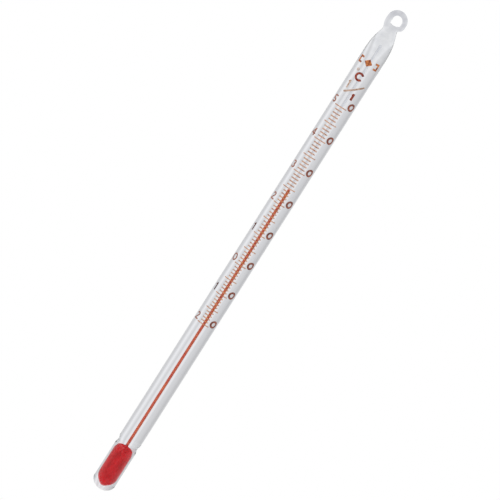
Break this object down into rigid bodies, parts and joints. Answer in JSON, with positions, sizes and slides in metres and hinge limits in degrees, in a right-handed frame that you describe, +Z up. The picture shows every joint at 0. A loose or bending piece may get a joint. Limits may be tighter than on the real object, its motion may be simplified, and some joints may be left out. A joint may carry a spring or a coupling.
{
  "type": "glass stem thermometer",
  "caption": "Solid glass rod thermometer with red spirit in a fine bore, a fired enamel scale in degrees Celsius, a round-ended bulb and a fused glass hanging ring.",
  "frame": {"origin": "middle of the hanging ring, where a hook or string goes through it", "axes": "+Z up along the stem from the bulb to the ring, -Y the way the scale faces, +X to the reader's right"},
  "size_m": [0.0064, 0.0065, 0.1494],
  "materials": {
    "glass": "clear flame-polished glass with a faint cool tint",
    "spirit": "clear red-dyed spirit behind glass",
    "enamel": "satin fired brown-red enamel print",
    "orange_enamel": "satin fired orange-brown enamel print"
  },
  "bodies": {
    "root": {"degree_sign": "enamel", "division_mark_lower_one": "enamel", "division_mark_slash": "enamel", "division_mark_upper_one": "enamel", "glass_bulb": "glass", "glass_neck": "glass", "glass_stem": "glass", "graduation_0": "enamel", "graduation_minus_10": "enamel", "graduation_minus_20": "enamel", "graduation_plus_10": "enamel", "graduation_plus_20": "enamel", "graduation_plus_30": "enamel", "graduation_plus_40": "enamel", "graduation_plus_50": "enamel", "half_graduation_minus_15": "enamel", "half_graduation_minus_5": "enamel", "half_graduation_plus_15": "enamel", "half_graduation_plus_25": "enamel", "half_graduation_plus_35": "enamel", "half_graduation_plus_45": "enamel", "half_graduation_plus_5": "enamel", "hanging_ring": "glass", "letter_c": "enamel", "mark_bracket_left": "orange_enamel", "mark_bracket_right": "orange_enamel", "mark_lozenge": "orange_enamel", "spirit_column": "spirit", "spirit_reservoir": "spirit", "tens_numeral_0": "enamel", "tens_numeral_minus_10": "enamel", "tens_numeral_minus_20": "enamel", "tens_numeral_plus_10": "enamel", "tens_numeral_plus_20": "enamel", "tens_numeral_plus_30": "enamel", "tens_numeral_plus_40": "enamel", "tens_numeral_plus_50": "enamel", "units_numeral_0": "enamel", "units_numeral_minus_10": "enamel", "units_numeral_minus_20": "enamel", "units_numeral_plus_10": "enamel", "units_numeral_plus_20": "enamel", "units_numeral_plus_30": "enamel", "units_numeral_plus_40": "enamel", "units_numeral_plus_50": "enamel"},
    "meniscus": {"spirit_meniscus": "spirit"}
  },
  "joints": [
    {"name": "spirit_level", "type": "slide", "parent": "root", "child": "meniscus", "axis": [0, 0, 1], "range_m": [-0.04175, 0.02555], "deforming": ["spirit_column"]}
  ]
}
